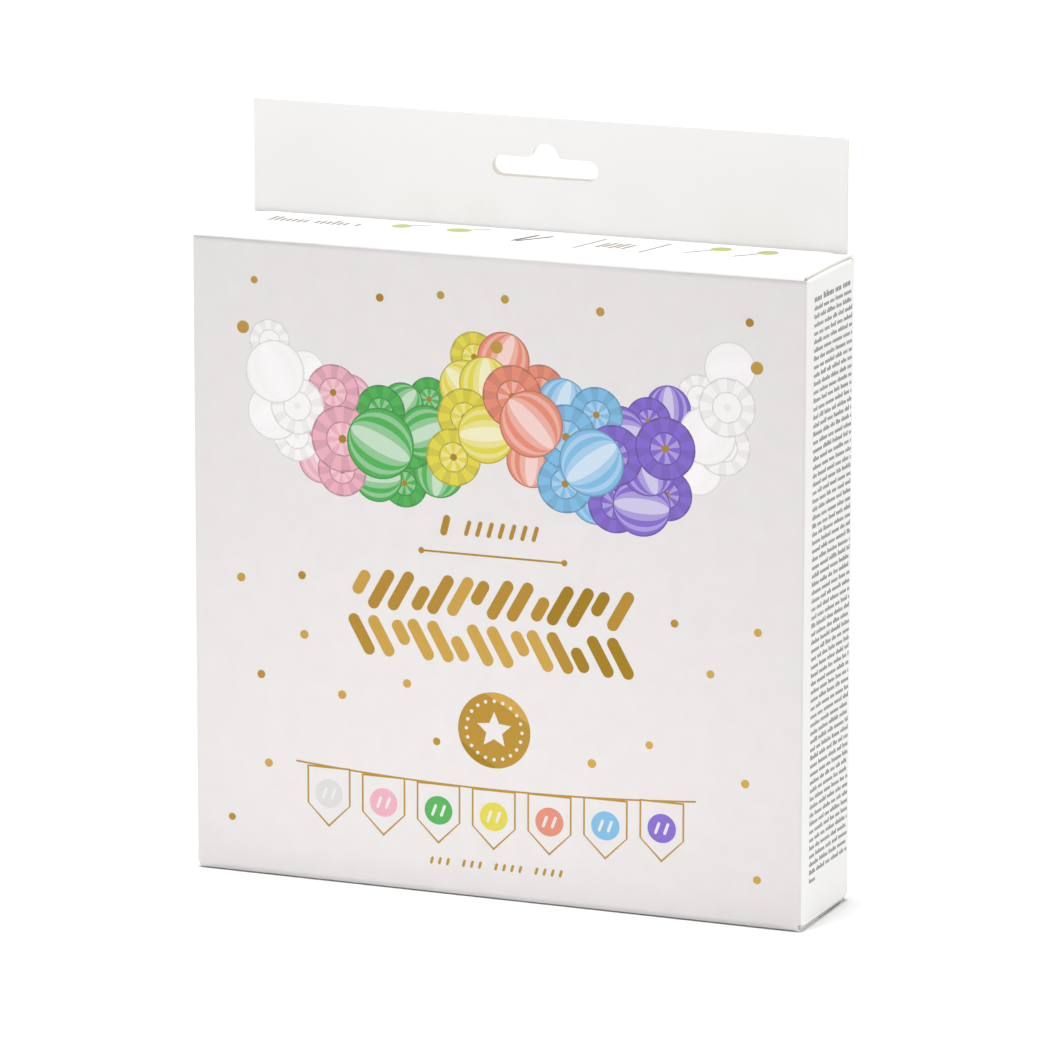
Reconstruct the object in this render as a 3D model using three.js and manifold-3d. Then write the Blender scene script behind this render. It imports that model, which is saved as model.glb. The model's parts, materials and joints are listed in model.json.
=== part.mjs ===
// Hang-tab folding carton: a printed retail box of thin board that stands on its base or hangs by
// the slot in its header. Millimetres, +Z up, the front panel faces -Y, the origin is the middle of
// the base. The body, the lid, its tuck flap and the two dust flaps are folded from one blank.
import * as THREE from 'three';
import { mergeVertices } from 'three/addons/utils/BufferGeometryUtils.js';
import Module from 'manifold-3d';

const wasm = await Module();
wasm.setup();

// Driving dimensions of the closed carton
const CARTON_WIDTH = 190;
const CARTON_DEPTH = 40;
const CARTON_HEIGHT = 191;
const BOARD = 0.6;
const CREASE_RADIUS = 1.2;
const GAP = 0.3;

// Header with the hang slot, two plies thick
const HEADER_HEIGHT = 33;
const HEADER_INSET = 2.5;
const HEADER_CORNER = 0.8;
const SLOT_WIDTH = 33;
const SLOT_END_HEIGHT = 6;
const SLOT_RISE = 4.2;
const SLOT_TOP_RADIUS = 4.2;
const SLOT_SHOULDER_RADIUS = 1.6;
const SLOT_BELOW_TOP = 7.4;
const PLY_SLIP_X = 1;
const PLY_SLIP_Z = 0.8;
const SEAM_INSET = 1.5;

// Closures
const LID_INSET = 0.5;
const TUCK_LENGTH = 15;
const TUCK_INSET = 3.2;
const TUCK_CORNER = 7;
const TUCK_LEAN = 3;
const DUST_CLEARANCE = 0.6;
const DUST_LENGTH = 34;
const DUST_STEP = 3;
const DUST_TAPER = 5;
const DUST_CORNER = 3;

// Segments in a crease and in a wider curve, and how deep joined solids run into each other
const CREASE_STEPS = 4;
const CURVE_STEPS = 8;
const WELD = 2;

// Faces and heights that several pieces share
const HALF_WIDTH = CARTON_WIDTH / 2;
const FRONT = -CARTON_DEPTH / 2;
const REAR = CARTON_DEPTH / 2;
const REAR_PLY_SPLIT = REAR - BOARD;
const REAR_INSIDE = REAR - 2 * BOARD;
const CLOSURE_REAR = REAR_INSIDE - GAP;
const PANEL_HALF_WIDTH = HALF_WIDTH - CREASE_RADIUS;
const CREASE_FRONT = FRONT + CREASE_RADIUS;
const CREASE_REAR = CLOSURE_REAR - CREASE_RADIUS;
const WALL_TOP = CARTON_HEIGHT - CREASE_RADIUS - GAP;
const DUST_TOP = CARTON_HEIGHT - BOARD - DUST_CLEARANCE;
const DUST_CREASE = DUST_TOP - CREASE_RADIUS;
const BOTTOM_DUST = BOARD + GAP;
const LID_HALF_WIDTH = HALF_WIDTH - LID_INSET;
const TUCK_HALF_WIDTH = HALF_WIDTH - TUCK_INSET;
const HEADER_TOP = CARTON_HEIGHT + HEADER_HEIGHT;

// Manifold solid of a closed geometry
function solidOf(geometry) {
  const bare = geometry.index ? geometry.toNonIndexed() : geometry.clone();
  bare.deleteAttribute('normal');
  bare.deleteAttribute('uv');
  const merged = mergeVertices(bare, 1e-5);
  const mesh = new wasm.Mesh({
    numProp: 3,
    vertProperties: new Float32Array(merged.attributes.position.array),
    triVerts: new Uint32Array(merged.index.array),
  });
  return new wasm.Manifold(mesh);
}

// Geometry of a manifold solid
function geometryOf(solid) {
  const mesh = solid.getMesh();
  const geometry = new THREE.BufferGeometry();
  geometry.setAttribute('position', new THREE.BufferAttribute(mesh.vertProperties, 3));
  geometry.setIndex(new THREE.BufferAttribute(mesh.triVerts, 1));
  return geometry;
}

function extrude(points, low, high, toWorld) {
  const shape = new THREE.Shape(points);
  const geometry = new THREE.ExtrudeGeometry(shape, { depth: high - low, bevelEnabled: false });
  geometry.translate(0, 0, low);
  geometry.applyMatrix4(toWorld);
  return solidOf(geometry);
}

// The outline lies in (x, y) and runs up from low to high
const upZ = (points, low, high) => extrude(points, low, high, new THREE.Matrix4());

// The outline lies in (y, z) and runs along X
const alongX = (points, low, high) => extrude(points, low, high, new THREE.Matrix4().set(
  0, 0, 1, 0,
  1, 0, 0, 0,
  0, 1, 0, 0,
  0, 0, 0, 1,
));

// The outline lies in (x, z) and runs along Y
const alongY = (points, low, high) => extrude(points, -high, -low, new THREE.Matrix4().set(
  1, 0, 0, 0,
  0, 0, -1, 0,
  0, 1, 0, 0,
  0, 0, 0, 1,
));

const point = (x, y) => new THREE.Vector2(x, y);

// Points of an arc from angle start to angle end, in radians
function arc(centre, radius, start, end, steps) {
  const points = [];
  for (let i = 0; i <= steps; i += 1) {
    const a = start + ((end - start) * i) / steps;
    points.push(point(centre.x + radius * Math.cos(a), centre.y + radius * Math.sin(a)));
  }
  return points;
}

// A corner between two straight edges, rounded by an arc that touches both
function roundCorner(before, corner, after, radius, steps) {
  const toBefore = before.clone().sub(corner).normalize();
  const toAfter = after.clone().sub(corner).normalize();
  const half = Math.acos(THREE.MathUtils.clamp(toBefore.dot(toAfter), -1, 1)) / 2;
  const centre = toBefore.clone().add(toAfter).normalize()
    .multiplyScalar(radius / Math.sin(half)).add(corner);
  const touchBefore = toBefore.clone().multiplyScalar(radius / Math.tan(half)).add(corner);
  const touchAfter = toAfter.clone().multiplyScalar(radius / Math.tan(half)).add(corner);
  const start = Math.atan2(touchBefore.y - centre.y, touchBefore.x - centre.x);
  let turn = Math.atan2(touchAfter.y - centre.y, touchAfter.x - centre.x) - start;
  if (turn > Math.PI) turn -= 2 * Math.PI;
  if (turn < -Math.PI) turn += 2 * Math.PI;
  return arc(centre, radius, start, start + turn, steps);
}

// A closed outline with a rounding radius at each of its corners; radius 0 keeps a corner sharp
function roundedOutline(corners, radii, steps) {
  return corners.flatMap((corner, i) => {
    if (radii[i] === 0) return [corner];
    const before = corners[(i + corners.length - 1) % corners.length];
    const after = corners[(i + 1) % corners.length];
    return roundCorner(before, corner, after, radii[i], steps);
  });
}

// Board folded along a path of its outer face: the board lies to the left of the path, and each
// fold is a crease of CREASE_RADIUS outside. All paths here turn left.
function foldedStrip(path) {
  const outer = [];
  const inner = [];
  const leftOf = (from, to) => {
    const along = to.clone().sub(from).normalize();
    return point(-along.y, along.x);
  };
  const shifted = (p, left) => left.clone().multiplyScalar(BOARD).add(p);
  outer.push(path[0]);
  inner.push(shifted(path[0], leftOf(path[0], path[1])));
  for (let i = 1; i < path.length - 1; i += 1) {
    const start = leftOf(path[i - 1], path[i]);
    const end = leftOf(path[i], path[i + 1]);
    const centre = start.clone().add(end).multiplyScalar(CREASE_RADIUS / (1 + start.dot(end)))
      .add(path[i]);
    const from = Math.atan2(-start.y, -start.x);
    const turn = Math.acos(start.dot(end));
    outer.push(...arc(centre, CREASE_RADIUS, from, from + turn, CREASE_STEPS));
    inner.push(...arc(centre, CREASE_RADIUS - BOARD, from, from + turn, CREASE_STEPS));
  }
  const last = path.length - 1;
  outer.push(path[last]);
  inner.push(shifted(path[last], leftOf(path[last - 1], path[last])));
  const outline = [...outer, ...inner.reverse()];
  return outline.filter((p, i) => p.distanceTo(outline[(i + 1) % outline.length]) > 1e-6);
}

// Plan of a dust flap on the side where x has the given sign: full width at the crease, a step
// that clears the tuck flap, and slanted edges to a free end with rounded corners
function dustPlan(sign) {
  const crease = HALF_WIDTH + GAP;
  const step = TUCK_HALF_WIDTH + GAP;
  const free = HALF_WIDTH - DUST_LENGTH;
  const corners = [
    point(crease, CREASE_FRONT),
    point(crease, CREASE_REAR),
    point(step, CREASE_REAR),
    point(step, CREASE_REAR - DUST_STEP),
    point(free, CREASE_REAR - DUST_TAPER),
    point(free, CREASE_FRONT + DUST_TAPER - DUST_STEP),
    point(step, CREASE_FRONT),
  ];
  const outline = roundedOutline(corners, [0, 0, 0, 0, DUST_CORNER, DUST_CORNER, 0], CREASE_STEPS);
  if (sign > 0) return outline;
  return outline.map((p) => point(-p.x, p.y)).reverse();
}

// One dust flap folded from a side wall; the crease is at the outer height and the flap above or
// below it, and the strip may run on into the wall that it is part of
function dustFlap(sign, flapFace, wallEnd) {
  const path = [point(sign * HALF_WIDTH, wallEnd), point(sign * HALF_WIDTH, flapFace),
    point(sign * (HALF_WIDTH - DUST_LENGTH), flapFace)];
  const leftTurning = (sign > 0) === (wallEnd < flapFace);
  const strip = alongY(foldedStrip(leftTurning ? path : path.reverse()), FRONT, REAR);
  return strip.intersect(upZ(dustPlan(sign), flapFace - WELD * 2, flapFace + WELD * 2));
}

// Walls of one ply, with the back panel's outer ply glued on. The outer ply turns round the left
// rear corner and ends short of the right one.
function walls() {
  const outside = roundedOutline(
    [point(-HALF_WIDTH, FRONT), point(HALF_WIDTH, FRONT),
      point(HALF_WIDTH, REAR_PLY_SPLIT), point(-HALF_WIDTH, REAR_PLY_SPLIT)],
    [CREASE_RADIUS, CREASE_RADIUS, CREASE_RADIUS, CREASE_RADIUS - BOARD],
    CREASE_STEPS,
  );
  const insideRadius = CREASE_RADIUS - BOARD;
  const inside = roundedOutline(
    [point(-HALF_WIDTH + BOARD, FRONT + BOARD), point(HALF_WIDTH - BOARD, FRONT + BOARD),
      point(HALF_WIDTH - BOARD, REAR_INSIDE), point(-HALF_WIDTH + BOARD, REAR_INSIDE)],
    [insideRadius, insideRadius, insideRadius, 0],
    CREASE_STEPS,
  );
  const base = BOTTOM_DUST + CREASE_RADIUS;
  const tube = upZ(outside, base, WALL_TOP).subtract(upZ(inside, base - WELD, WALL_TOP + WELD));
  const outerPly = upZ(foldedStrip([
    point(HALF_WIDTH - SEAM_INSET, REAR),
    point(-HALF_WIDTH, REAR),
    point(-HALF_WIDTH, REAR - CREASE_RADIUS - WELD),
  ]), base, WALL_TOP);
  const glued = alongX([point(REAR_INSIDE, base), point(REAR, base), point(REAR, WALL_TOP),
    point(REAR_INSIDE, WALL_TOP)], -PANEL_HALF_WIDTH, HALF_WIDTH - CREASE_RADIUS - SEAM_INSET);
  let shell = tube.add(outerPly).add(glued);
  for (const sign of [-1, 1]) {
    const near = sign * (HALF_WIDTH - CREASE_RADIUS);
    const far = sign * (HALF_WIDTH + WELD);
    const cut = upZ([point(Math.min(near, far), CREASE_FRONT - GAP),
      point(Math.max(near, far), CREASE_FRONT - GAP),
      point(Math.max(near, far), CREASE_REAR + GAP),
      point(Math.min(near, far), CREASE_REAR + GAP)], DUST_CREASE - GAP, WALL_TOP + WELD);
    shell = shell.subtract(cut);
  }
  return shell;
}

// Front panel, base panel and the base's tuck flap, folded from one strip, with the base's dust
// flaps over them
function base() {
  const front = alongX(foldedStrip([point(FRONT, WALL_TOP), point(FRONT, 0),
    point(CREASE_REAR, 0)]), -PANEL_HALF_WIDTH, PANEL_HALF_WIDTH);
  const tuck = alongX(foldedStrip([point(CREASE_REAR - WELD, 0), point(CLOSURE_REAR, 0),
    point(CLOSURE_REAR, TUCK_LENGTH)]), -TUCK_HALF_WIDTH, TUCK_HALF_WIDTH);
  const wallEnd = BOTTOM_DUST + CREASE_RADIUS + WELD;
  return front.add(tuck)
    .add(dustFlap(-1, BOTTOM_DUST, wallEnd))
    .add(dustFlap(1, BOTTOM_DUST, wallEnd));
}

// Outline of the hang slot in (x, z): a long slot with round ends and a round rise in its middle
// for the peg, with hollow shoulders
function slotOutline(centreX, bottom) {
  const endRadius = SLOT_END_HEIGHT / 2;
  const shoulder = bottom + SLOT_END_HEIGHT;
  const middle = bottom + endRadius;
  const left = centreX - SLOT_WIDTH / 2 + endRadius;
  const right = centreX + SLOT_WIDTH / 2 - endRadius;
  const topCentre = shoulder + SLOT_RISE - SLOT_TOP_RADIUS;
  const reach = SLOT_TOP_RADIUS + SLOT_SHOULDER_RADIUS;
  const lift = topCentre - (shoulder + SLOT_SHOULDER_RADIUS);
  const half = Math.sqrt(reach * reach - lift * lift);
  const tilt = Math.atan2(lift, half);
  return [
    ...arc(point(right, middle), endRadius, -Math.PI / 2, Math.PI / 2, CURVE_STEPS),
    ...arc(point(centreX + half, shoulder + SLOT_SHOULDER_RADIUS), SLOT_SHOULDER_RADIUS,
      -Math.PI / 2, -Math.PI - tilt, CREASE_STEPS),
    ...arc(point(centreX, topCentre), SLOT_TOP_RADIUS, -tilt, Math.PI + tilt, CURVE_STEPS),
    ...arc(point(centreX - half, shoulder + SLOT_SHOULDER_RADIUS), SLOT_SHOULDER_RADIUS,
      tilt, -Math.PI / 2, CREASE_STEPS),
    ...arc(point(left, middle), endRadius, Math.PI / 2, (3 * Math.PI) / 2, CURVE_STEPS),
  ];
}

// The back panel from the floor to the header's top edge. Each ply has its own slot, punched a
// little apart, so that the rear ply shows as a rim inside the front one.
function backWithHeader() {
  const half = HALF_WIDTH - HEADER_INSET;
  const sheet = alongY(roundedOutline(
    [point(-half, WALL_TOP - WELD), point(half, WALL_TOP - WELD), point(half, HEADER_TOP),
      point(-half, HEADER_TOP)],
    [0, 0, HEADER_CORNER, HEADER_CORNER],
    CREASE_STEPS,
  ), REAR_INSIDE, REAR);
  const foot = alongX([point(REAR_INSIDE, 0), point(REAR, 0),
    point(REAR, BOTTOM_DUST + CREASE_RADIUS + WELD),
    point(REAR_INSIDE, BOTTOM_DUST + CREASE_RADIUS + WELD)], -PANEL_HALF_WIDTH, PANEL_HALF_WIDTH);
  const bottom = HEADER_TOP - SLOT_BELOW_TOP - SLOT_RISE - SLOT_END_HEIGHT;
  const frontSlot = alongY(slotOutline(-PLY_SLIP_X / 2, bottom - PLY_SLIP_Z / 2),
    REAR_INSIDE - WELD, REAR_PLY_SPLIT);
  const rearSlot = alongY(slotOutline(PLY_SLIP_X / 2, bottom + PLY_SLIP_Z / 2),
    REAR_PLY_SPLIT, REAR + WELD);
  return sheet.subtract(frontSlot).subtract(rearSlot).add(foot);
}

function lidPanel() {
  const path = [point(CLOSURE_REAR, CARTON_HEIGHT - CREASE_RADIUS),
    point(CLOSURE_REAR, CARTON_HEIGHT), point(FRONT, CARTON_HEIGHT),
    point(FRONT, CARTON_HEIGHT - CREASE_RADIUS)];
  return alongX(foldedStrip(path), -LID_HALF_WIDTH, LID_HALF_WIDTH);
}

// The lid's tuck flap hangs behind the lid and leans a little into the carton
function tuckFlap() {
  const top = CARTON_HEIGHT - CREASE_RADIUS - GAP;
  const end = top - TUCK_LENGTH;
  const sheet = alongY(roundedOutline(
    [point(-TUCK_HALF_WIDTH, end), point(TUCK_HALF_WIDTH, end), point(TUCK_HALF_WIDTH, top),
      point(-TUCK_HALF_WIDTH, top)],
    [TUCK_CORNER, TUCK_CORNER, 0, 0],
    CURVE_STEPS,
  ), CLOSURE_REAR - BOARD, CLOSURE_REAR);
  const geometry = geometryOf(sheet);
  geometry.translate(0, BOARD - CLOSURE_REAR, -top);
  geometry.rotateX(THREE.MathUtils.degToRad(-TUCK_LEAN));
  geometry.translate(0, CLOSURE_REAR - BOARD, top);
  return solidOf(geometry);
}

const carton = new THREE.Group();

function addPiece(name, solid, look) {
  const mesh = new THREE.Mesh(geometryOf(solid), new THREE.MeshStandardMaterial(look));
  mesh.name = name;
  carton.add(mesh);
}

const PRINTED_BOARD = { color: 0xf1efed, roughness: 0.45, metalness: 0 };
const PLAIN_BOARD = { color: 0xe4dfd5, roughness: 0.8, metalness: 0 };

addPiece('carton_body', walls().add(base()).add(backWithHeader()), PRINTED_BOARD);
addPiece('lid', lidPanel(), PRINTED_BOARD);
addPiece('tuck_flap', tuckFlap(), PRINTED_BOARD);
addPiece('dust_flap_left', dustFlap(-1, DUST_TOP, DUST_CREASE), PLAIN_BOARD);
addPiece('dust_flap_right', dustFlap(1, DUST_TOP, DUST_CREASE), PLAIN_BOARD);

export default carton;
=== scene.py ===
import json
import math
import random

import bpy
from mathutils import Matrix, Vector, noise
from mathutils.geometry import delaunay_2d_cdt


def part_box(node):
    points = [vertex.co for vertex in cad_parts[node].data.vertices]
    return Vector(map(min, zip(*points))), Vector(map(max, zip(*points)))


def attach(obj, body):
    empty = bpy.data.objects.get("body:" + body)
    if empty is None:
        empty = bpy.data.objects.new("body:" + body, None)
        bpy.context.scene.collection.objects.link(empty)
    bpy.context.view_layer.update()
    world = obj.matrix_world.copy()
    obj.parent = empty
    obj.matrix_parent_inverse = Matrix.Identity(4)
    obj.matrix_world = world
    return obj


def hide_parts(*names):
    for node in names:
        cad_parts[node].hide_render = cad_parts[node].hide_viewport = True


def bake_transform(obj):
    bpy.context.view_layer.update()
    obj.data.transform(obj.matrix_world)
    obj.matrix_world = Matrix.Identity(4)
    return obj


# Looks of a hang-tab folding carton of thin printed board. Sizes here are millimetres; a mesh is
# scaled to metres as it is made. Each piece of board is a flat blank, cut to its outline, printed,
# and then folded in place, so that print, creases and raw edges are all in its mesh.

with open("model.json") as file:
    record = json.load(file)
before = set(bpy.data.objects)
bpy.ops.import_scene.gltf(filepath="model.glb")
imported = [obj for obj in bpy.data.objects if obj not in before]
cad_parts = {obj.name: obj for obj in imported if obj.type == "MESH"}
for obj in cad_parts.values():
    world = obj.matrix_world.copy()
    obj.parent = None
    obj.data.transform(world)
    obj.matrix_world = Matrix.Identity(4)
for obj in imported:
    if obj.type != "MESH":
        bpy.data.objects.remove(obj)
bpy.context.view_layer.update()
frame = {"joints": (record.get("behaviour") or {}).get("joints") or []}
MM = 0.001


def node_box(node):
    low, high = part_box(node)
    return low / MM, high / MM


def joint_point(name):
    joint = next(j for j in frame["joints"] if j["name"] == name)
    return Vector(joint["pos_m"]) / MM


body_low, body_high = node_box("carton_body")
lid_low, lid_high = node_box("lid")
tuck_low, tuck_high = node_box("tuck_flap")
dust_low, dust_high = node_box("dust_flap_right")
lid_hinge = joint_point("lid_crease")
tuck_hinge = joint_point("tuck_crease")
dust_hinge = joint_point("dust_crease_right")

# Board and folds: CREASE is a crease's outer radius, and ARC_STEPS the strips that round it off
BOARD = 0.6
CREASE = 1.2
GAP = 0.3
ARC_STEPS = 7
QUARTER_TURN = math.pi / 2
HALF_WIDTH = body_high.x
FLAT = HALF_WIDTH - CREASE
FRONT = body_low.y
REAR = body_high.y
PLY_SPLIT = REAR - BOARD
SEAM_INSET = 1.5
LID_TOP = lid_high.z
CLOSURE_REAR = tuck_high.y
CREASE_FRONT = FRONT + CREASE
CREASE_REAR = CLOSURE_REAR - CREASE
CORNER_TOP = lid_low.z - GAP
HEADER_TOP = body_high.z
HEADER_INSET = 2.5
HEADER_HALF = HALF_WIDTH - HEADER_INSET
HEADER_CORNER = 0.8
DUST_LENGTH = HALF_WIDTH - dust_low.x
DUST_TOP = dust_high.z
BASE_FLAP = BOARD + GAP
BASE_CREASE = BASE_FLAP + CREASE
BASE_TUCK = 15.0
TUCK_HALF = tuck_high.x
TUCK_CORNER = 7.0
TUCK_CREASE = 0.75
TUCK_LEAN = math.radians(3)
DUST_CORNER = 3.0
DUST_TAPER_FRONT = 2.0
DUST_TAPER_REAR = 5.0

# Camera, fitted to the carton's corners in the photograph
CAMERA_AT = Vector((810.46, -1981.74, 582.92))
CAMERA_AIM = Vector((1.28, 0.0, 107.45))
CAMERA_ROLL = math.radians(0.075)
CAMERA_LENS = 259.38
SENSOR_WIDTH = 36.0
CLIP_END = 50.0

# Studio light: places in metres
WORLD_STRENGTH = 0.78
FLOOR_SHADE = 0.78
KEY_AT = (1.9, 0.1, 0.7)
KEY_AIM = (0, 0, 0.1)
KEY_SIZE = 1.2
KEY_POWER = 1.0
OVERHEAD_STRENGTH = 2.0
OVERHEAD_ANGLE = math.radians(10)
TABLE_AT = (-0.02, -0.225, 1.3)
TABLE_ANGLE = math.radians(22)
TABLE_BLEND = 0.6
TABLE_POWER = 64.0
TABLE_RADIUS = 0.1
FLOOR_SIZE = 12.0
FLOOR_DROP = -0.00003
FLOOR_ROUGHNESS = 0.9


def smooth(x):
    x = min(max(x, 0.0), 1.0)
    return x * x * (3 - 2 * x)


def left_of(v):
    return Vector((-v.y, v.x))


class Fold:
    """The outer face of folded board in section: straight runs joined by round creases."""

    def __init__(self, corners, outer_side, radius=CREASE):
        self.side = outer_side
        self.runs = []
        self.start = 0.0
        corners = [Vector(c) for c in corners]
        at = corners[0]
        for i in range(1, len(corners)):
            way = (corners[i] - corners[i - 1]).normalized()
            cut = 0.0
            if i < len(corners) - 1:
                onward = (corners[i + 1] - corners[i]).normalized()
                turn = math.atan2(way.x * onward.y - way.y * onward.x, way.dot(onward))
                cut = radius * math.tan(abs(turn) / 2)
            end = corners[i] - way * cut
            self.add((end - at).length, at, way, 0.0, None)
            if cut:
                bend = math.copysign(1.0, turn)
                self.add(radius * abs(turn), end, way, bend, end + left_of(way) * bend * radius)
                at = corners[i] + onward * cut
        self.radius = radius

    def add(self, length, at, way, bend, centre):
        self.runs.append((self.start, length, at, way, bend, centre))
        self.start += length

    def at(self, t):
        """Place and outward direction at length t; the end runs carry on past their ends."""
        run = self.runs[0]
        for candidate in self.runs:
            if candidate[0] <= t:
                run = candidate
        start, _, at, way, bend, centre = run
        if not bend:
            return at + way * (t - start), left_of(way) * self.side
        turn = Matrix.Rotation(bend * (t - start) / self.radius, 2)
        return centre + turn @ (at - centre), left_of(turn @ way) * self.side

    def measure(self, run, point):
        """Length at a point on a straight run, counting straight runs and creases alike."""
        start, _, at, way, _, _ = self.runs[run]
        return start + (Vector(point) - at).dot(way)

    def creases(self):
        return [(start, length) for start, length, _, _, bend, _ in self.runs if bend]


# Plan of the walls, from the inner rear ply round the carton to the outer rear ply
wrap = Fold([(-FLAT + GAP, PLY_SPLIT), (HALF_WIDTH, PLY_SPLIT), (HALF_WIDTH, FRONT),
             (-HALF_WIDTH, FRONT), (-HALF_WIDTH, REAR), (HALF_WIDTH - SEAM_INSET, REAR)], 1)
INNER_REAR, RIGHT, FRONT_RUN, LEFT, OUTER_REAR = 0, 2, 4, 6, 8


def inner_rear(x):
    return wrap.measure(INNER_REAR, (x, PLY_SPLIT))


def right_side(y):
    return wrap.measure(RIGHT, (HALF_WIDTH, y))


def front(x):
    return wrap.measure(FRONT_RUN, (x, FRONT))


def left_side(y):
    return wrap.measure(LEFT, (-HALF_WIDTH, y))


def outer_rear(x):
    return wrap.measure(OUTER_REAR, (x, REAR))


# Sections from the top of a wall down round its lower crease: (distance in from the wall, height)
WALL_TOP = lid_hinge.z
SIDE_TOP = dust_hinge.z
front_section = Fold([(0, WALL_TOP), (0, 0), (CLOSURE_REAR - FRONT, 0),
                      (CLOSURE_REAR - FRONT, BASE_TUCK)], -1)
side_section = Fold([(0, WALL_TOP), (0, BASE_FLAP), (DUST_LENGTH, BASE_FLAP)], -1)
plain_section = Fold([(0, HEADER_TOP), (0, 0)], -1)


# How far past its ends a panel's own section still holds
PANEL_REACH = 0.15


def wall_part(s):
    """The section that a place along the walls folds to; a panel's ends belong to the panel."""
    def within(run):
        start, length = wrap.runs[run][:2]
        return start - PANEL_REACH < s < start + length + PANEL_REACH

    if within(RIGHT) or within(LEFT):
        return side_section
    return front_section if within(FRONT_RUN) else plain_section


# Board that has been folded and filled isn't flat: it gives a little between its creases
SLACK = 0.55
SLACK_SIDE = 0.6
SLACK_EDGE = 26.0
SLACK_SCALE = 0.011
FRONT_SEED, SIDE_SEED, REAR_SEED = 3.1, 7.7, 5.3


def slack(across, along, across_size, along_size, seed):
    """How far a panel stands back from its plane, from 0 at its edges."""
    window = 1.0
    for at, size in ((across, across_size), (along, along_size)):
        reach = min(SLACK_EDGE, size / 2)
        window *= smooth(min(at, size - at) / reach)
    wave = noise.noise(Vector((across * SLACK_SCALE, along * SLACK_SCALE, seed)))
    return SLACK * window * (0.5 + 0.5 * wave)


# The front edge of the base stands a little clear of the floor between its two corners
BASE_LIFT = 0.85
LIFT_DEPTH = 14.0
LIFT_HEIGHT = 30.0
LIFT_CORNER = 5.0
# Over most of the depth, the base board's cut edges stand a little out under the side walls
BASE_PROUD = 1.1
PROUD_FROM, PROUD_TO, PROUD_FADE, PROUD_REACH = 0.3, 36.0, 3.0, 8.0


def place_wall(s, v):
    """Place and outward direction of the shell's blank at s along the walls and height v."""
    at, out = wrap.at(s)
    section = wall_part(s)
    top = HEADER_TOP if section is plain_section else WALL_TOP
    place, face = section.at(top - v)
    give, lift = 0.0, 0.0
    if section is front_section:
        lift = BASE_LIFT * (1 - smooth(place.x / LIFT_DEPTH)) * (1 - smooth(place.y / LIFT_HEIGHT))
        lift *= smooth((FLAT - abs(at.x)) / LIFT_CORNER)
        proud = smooth((place.x - PROUD_FROM) / PROUD_FADE)
        proud *= smooth((PROUD_TO - place.x) / PROUD_FADE)
        proud *= BASE_PROUD * smooth((abs(at.x) - FLAT + PROUD_REACH) / PROUD_REACH)
        at = Vector((at.x + math.copysign(proud, at.x), at.y))
    if v > 0:
        if section is front_section:
            give = slack(at.x + FLAT, v, 2 * FLAT, WALL_TOP, FRONT_SEED)
        elif section is side_section:
            give = slack(at.y - FRONT, v, REAR - FRONT, WALL_TOP, SIDE_SEED + at.x) * SLACK_SIDE
        elif v < CORNER_TOP:
            give = slack(at.x + FLAT, v, 2 * FLAT, CORNER_TOP, REAR_SEED)
    inward = place.x + give
    return Vector((at.x - out.x * inward, at.y - out.y * inward, place.y + lift)), Vector(
        (-out.x * face.x, -out.y * face.x, face.y))


# Lid: front crease and top panel; its rear crease belongs to the tuck flap's blank
LID_CROWN = 0.35
LID_DIP = 0.25
DIP_FROM, DIP_FADE = 2.0, 8.0
DIP_ACROSS, DIP_ALONG, DIP_SEED = 0.02, 0.03, 11.0
lid_section = Fold([(FRONT, WALL_TOP), (FRONT, LID_TOP), (CREASE_REAR, LID_TOP)], 1)
LID_END = lid_section.start


def crown(y):
    """Height of the closure at a depth: 0 in the middle of the depth, lowest at its creases."""
    across = min(max((y - CREASE_FRONT) / (CREASE_REAR - CREASE_FRONT), 0), 1)
    return LID_CROWN * (4 * across * (1 - across) - 1)


def place_lid(x, v):
    at, out = lid_section.at(v)
    lift = crown(at.x) * smooth(v / (2 * CREASE))
    dip = LID_DIP * smooth((v - DIP_FROM) / DIP_FADE) * smooth((LID_END - v) / DIP_FADE)
    dip *= 0.5 + 0.5 * noise.noise(Vector((x * DIP_ACROSS, v * DIP_ALONG, DIP_SEED)))
    return Vector((x, at.x, at.y + lift - dip)), Vector((0, out.x, out.y))


# Tuck flap: the lid's rear crease and the strip that leans in below it
tuck_section = Fold([(CREASE_REAR, LID_TOP), (CLOSURE_REAR, LID_TOP),
                     (CLOSURE_REAR - math.sin(TUCK_LEAN) * BASE_TUCK,
                      LID_TOP - math.cos(TUCK_LEAN) * (LID_TOP - tuck_low.z))], 1, TUCK_CREASE)


def place_tuck(x, v):
    at, out = tuck_section.at(v)
    sag = -LID_CROWN * (1 - smooth(v / CREASE))
    return Vector((x, at.x, at.y + sag)), Vector((0, out.x, out.y))


# Dust flaps: they spring up against the lid, and follow its rounded depth
DUST_RISE = 0.38
DUST_BEND = 1.5
dust_section = Fold([(0, SIDE_TOP), (0, DUST_TOP), (DUST_LENGTH, DUST_TOP)], 1)


def place_dust(sign):
    def place(y, v):
        at, out = dust_section.at(v)
        bend = smooth(v / CREASE / DUST_BEND)
        rise = (crown(y) + DUST_RISE) * bend
        return (Vector((sign * (HALF_WIDTH - at.x), y, at.y + rise)),
                Vector((-sign * out.x, 0, out.y)))
    return place


# Outlines
def arc(cx, cy, radius, start, end, steps):
    return [(cx + radius * math.cos(a), cy + radius * math.sin(a))
            for a in (math.radians(start + (end - start) * i / steps) for i in range(steps + 1))]


def circle(cx, cy, radius, steps=28, squash=1.0, turn=0.0):
    points = []
    for i in range(steps):
        a = 2 * math.pi * i / steps
        x, y = radius * squash * math.cos(a), radius * math.sin(a)
        points.append((cx + x * math.cos(turn) - y * math.sin(turn),
                       cy + x * math.sin(turn) + y * math.cos(turn)))
    return points


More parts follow.
